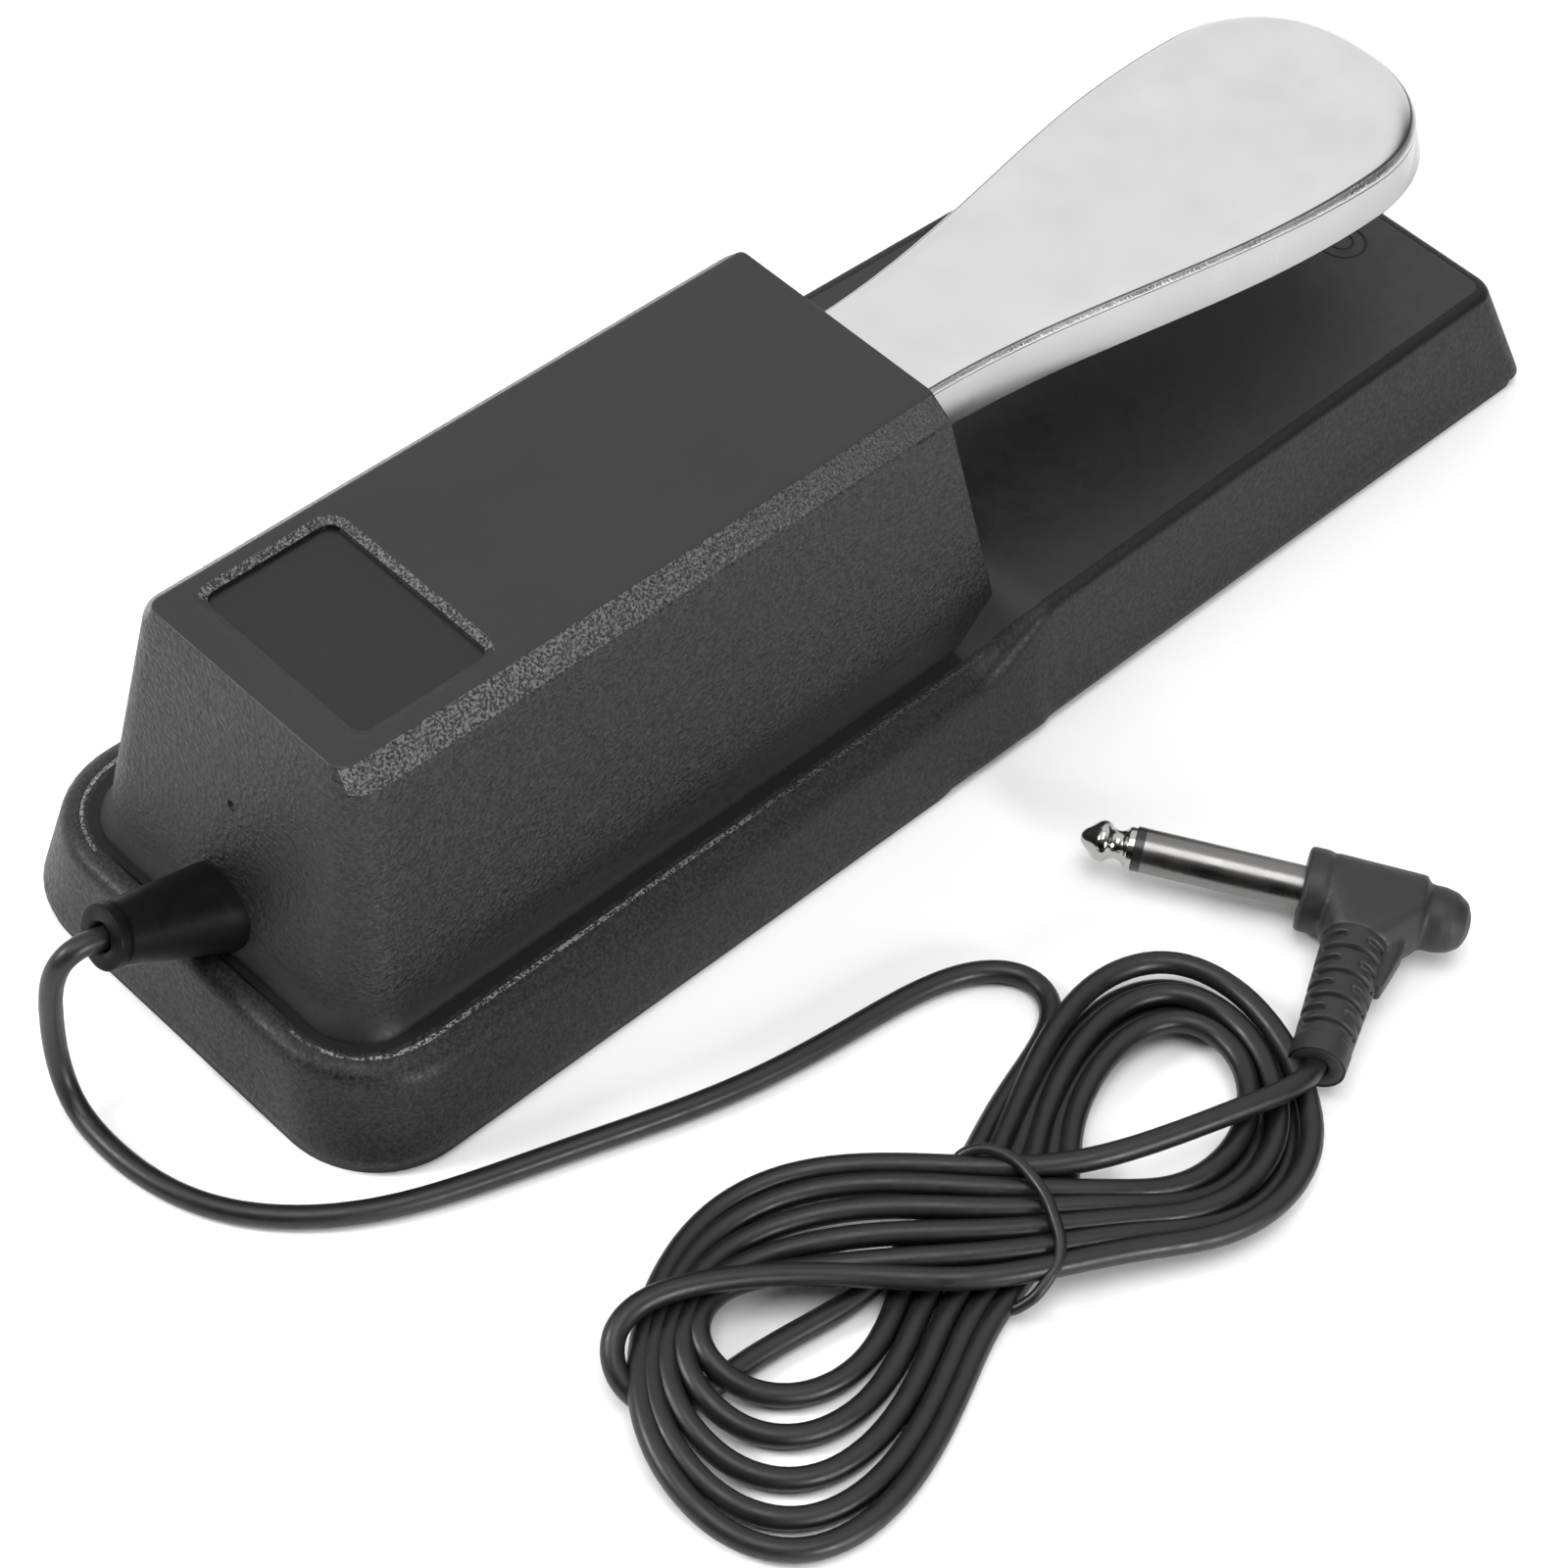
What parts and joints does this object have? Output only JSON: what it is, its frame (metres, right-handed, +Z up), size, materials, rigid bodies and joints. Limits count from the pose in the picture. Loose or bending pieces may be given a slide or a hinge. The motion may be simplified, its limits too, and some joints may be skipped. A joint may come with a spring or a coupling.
{
  "type": "sustain pedal",
  "caption": "Piano-style sustain pedal with a sprung chrome lever in a black moulded housing, with its jack lead tied in a hank.",
  "frame": {"origin": "bottom centre of the housing, on the surface it stands on", "axes": "+X towards the pedal's tip, +Z up, +Y to the left seen from behind the cord end"},
  "size_m": [0.2646, 0.1556, 0.0605],
  "materials": {
    "shell_plastic": "black ABS, leather grain on the sides, satin on the tops, coarse spark grain on the chamfers",
    "plate_steel": "zinc-plated steel sheet",
    "mat_rubber": "black rubber sheet, fine crosswise ribs",
    "screw_steel": "zinc-plated screw steel",
    "bracket_steel": "galvanised pressed steel",
    "pin_steel": "ground steel",
    "spring_steel": "spring steel",
    "lever_chrome": "satin chrome plate on pressed steel",
    "nylon": "natural nylon",
    "stop_rubber": "soft black rubber",
    "felt": "dense grey felt",
    "switch_plastic": "black phenolic moulding",
    "plunger_plastic": "red acetal button",
    "terminal_brass": "tinned brass blades",
    "cord_pvc": "black PVC cord jacket, satin",
    "wire_red": "red wire insulation",
    "wire_white": "white wire insulation",
    "boot_pvc": "soft black PVC moulding",
    "tie_wire": "black plastic-coated tie",
    "plug_pvc": "black PVC overmoulding",
    "plug_nickel": "polished nickel plate",
    "insulator_plastic": "black insulating ring"
  },
  "bodies": {
    "housing": {"upper_shell": "shell_plastic", "base_plate": "plate_steel", "rubber_mat": "mat_rubber", "shell_screws": "screw_steel", "pivot_bracket": "bracket_steel", "bracket_screws": "screw_steel", "pivot_pin": "pin_steel", "pin_clips": "spring_steel", "return_spring": "spring_steel", "spring_post": "nylon", "downstop_cap": "stop_rubber", "upstop_pad": "felt", "switch_body": "switch_plastic", "switch_terminals": "terminal_brass", "switch_screws": "screw_steel", "switch_nuts": "screw_steel", "switch_bracket": "bracket_steel", "switch_bracket_screws": "screw_steel", "inner_cord": "cord_pvc", "cord_saddle": "nylon", "saddle_screws": "screw_steel", "signal_wire": "wire_red", "ground_wire": "wire_white", "cord_boot": "boot_pvc", "cord_lead": "cord_pvc", "cord_hank": "cord_pvc", "cord_tail": "cord_pvc", "cord_tie": "tie_wire", "plug_body": "plug_pvc", "plug_relief": "plug_pvc", "plug_sleeve": "plug_nickel", "plug_insulator": "insulator_plastic", "plug_tip": "plug_nickel"},
    "pedal": {"pedal_lever": "lever_chrome", "left_bush": "nylon", "right_bush": "nylon"},
    "actuator": {"switch_leaf": "spring_steel"},
    "plunger": {"switch_plunger": "plunger_plastic"}
  },
  "joints": [
    {"name": "pedal_hinge", "type": "hinge", "parent": "housing", "child": "pedal", "pos_m": [-0.062, 0, 0.0425], "axis": [0, 1, 0], "range_deg": [0, 5.5], "stiffness_Nm_per_rad": 12, "springref_deg": -6.88, "deforming": ["return_spring"]},
    {"name": "leaf_hinge", "type": "hinge", "parent": "housing", "child": "actuator", "pos_m": [-0.048, 0, 0.0422], "axis": [0, 1, 0], "range_deg": [0, 9.5]},
    {"name": "plunger_slide", "type": "slide", "parent": "housing", "child": "plunger", "axis": [0, 0, -1], "range_m": [0, 0.00105]}
  ],
  "couplings": [
    {"joint": "leaf_hinge", "follows": "pedal_hinge", "ratio": 1.7},
    {"joint": "plunger_slide", "follows": "pedal_hinge", "m_per_rad": 0.0104}
  ]
}
